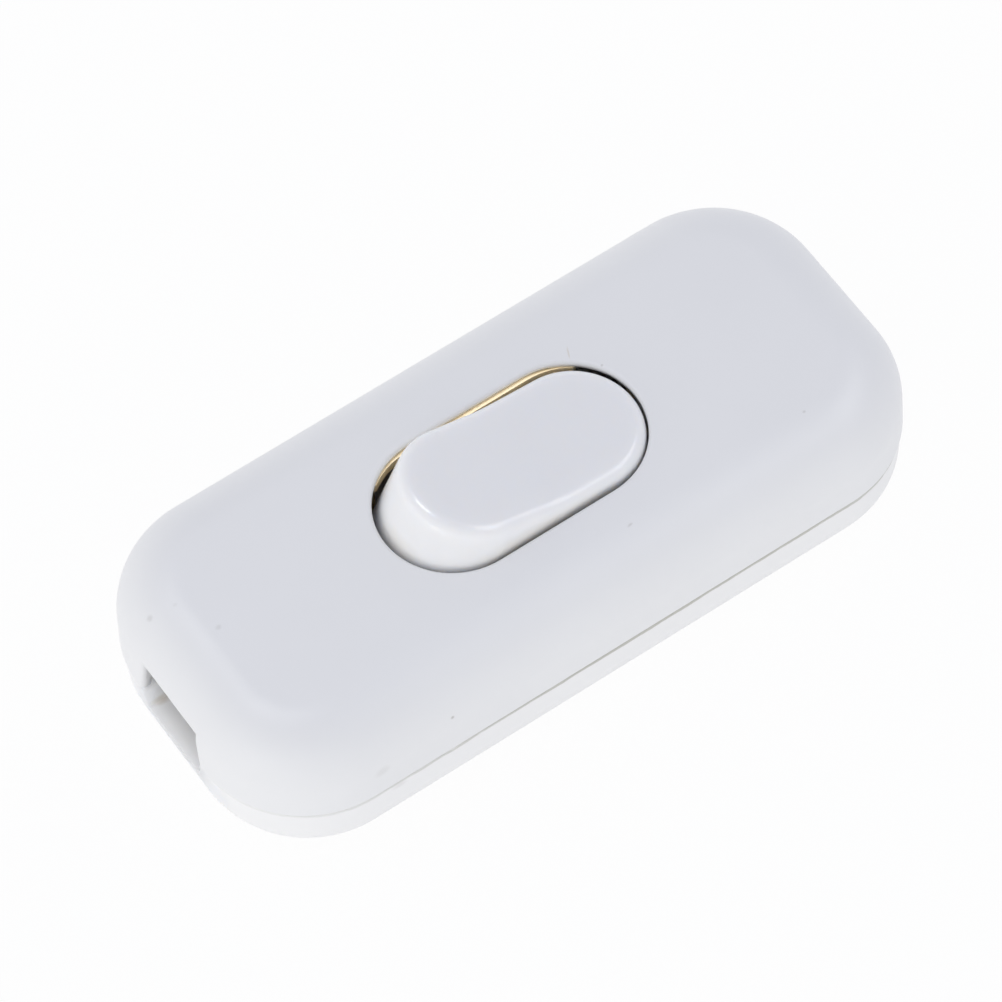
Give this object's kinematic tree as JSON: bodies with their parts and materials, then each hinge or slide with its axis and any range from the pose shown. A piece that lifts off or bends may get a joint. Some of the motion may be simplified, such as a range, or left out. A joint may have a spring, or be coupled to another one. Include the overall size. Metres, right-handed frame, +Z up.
{
  "type": "inline cord switch",
  "caption": "White moulded switch for a lamp cord, with a rocker in a stadium opening that tilts a see-saw contact, screw terminals, cord clamps and an inlet at each end.",
  "frame": {"origin": "centre of the housing's footprint, on the surface it lies on", "axes": "+X along the cord, from the raised end of the rocker to the pressed end; +Z up out of the rocker"},
  "size_m": [0.06, 0.0266, 0.0176],
  "materials": {
    "shell_plastic": "satin moulded",
    "rocker_plastic": "gloss moulded",
    "clamp_plastic": "moulded",
    "nylon": "natural",
    "brass": "stamped",
    "link_brass": "stamped",
    "contact_silver": "polished",
    "spring_steel": "drawn wire",
    "plated_screw": "zinc plated"
  },
  "bodies": {
    "housing": {"lower_shell": "shell_plastic", "upper_shell": "shell_plastic", "cradle_terminal": "brass", "fixed_terminal": "brass", "fixed_contact_tip": "contact_silver", "neutral_link": "link_brass", "terminal_screws": "plated_screw", "terminal_washers": "plated_screw", "cord_clamp_left": "clamp_plastic", "cord_clamp_right": "clamp_plastic", "cord_clamp_screws": "plated_screw", "housing_screws": "plated_screw"},
    "rocker_body": {"rocker": "rocker_plastic", "plunger_spring": "spring_steel"},
    "plunger_body": {"plunger": "nylon"},
    "blade_body": {"contact_blade": "brass", "blade_contact_tip": "contact_silver"}
  },
  "joints": [
    {"name": "rocker_tilt", "type": "hinge", "parent": "housing", "child": "rocker_body", "pos_m": [0, 0, 0.0102], "axis": [0, -1, 0], "range_deg": [0, 20]},
    {"name": "blade_tilt", "type": "hinge", "parent": "housing", "child": "blade_body", "pos_m": [0, 0, 0.0049], "axis": [0, -1, 0], "range_deg": [-20, 0]},
    {"name": "plunger_slide", "type": "slide", "parent": "rocker_body", "child": "plunger_body", "axis": [0.1736, 0, 0.9848], "range_m": [0, 0.0006], "stiffness_N_per_m": 400, "springref_m": -0.0024, "deforming": ["plunger_spring"]}
  ],
  "couplings": [
    {"joint": "blade_tilt", "follows": "rocker_tilt", "ratio": -1}
  ]
}
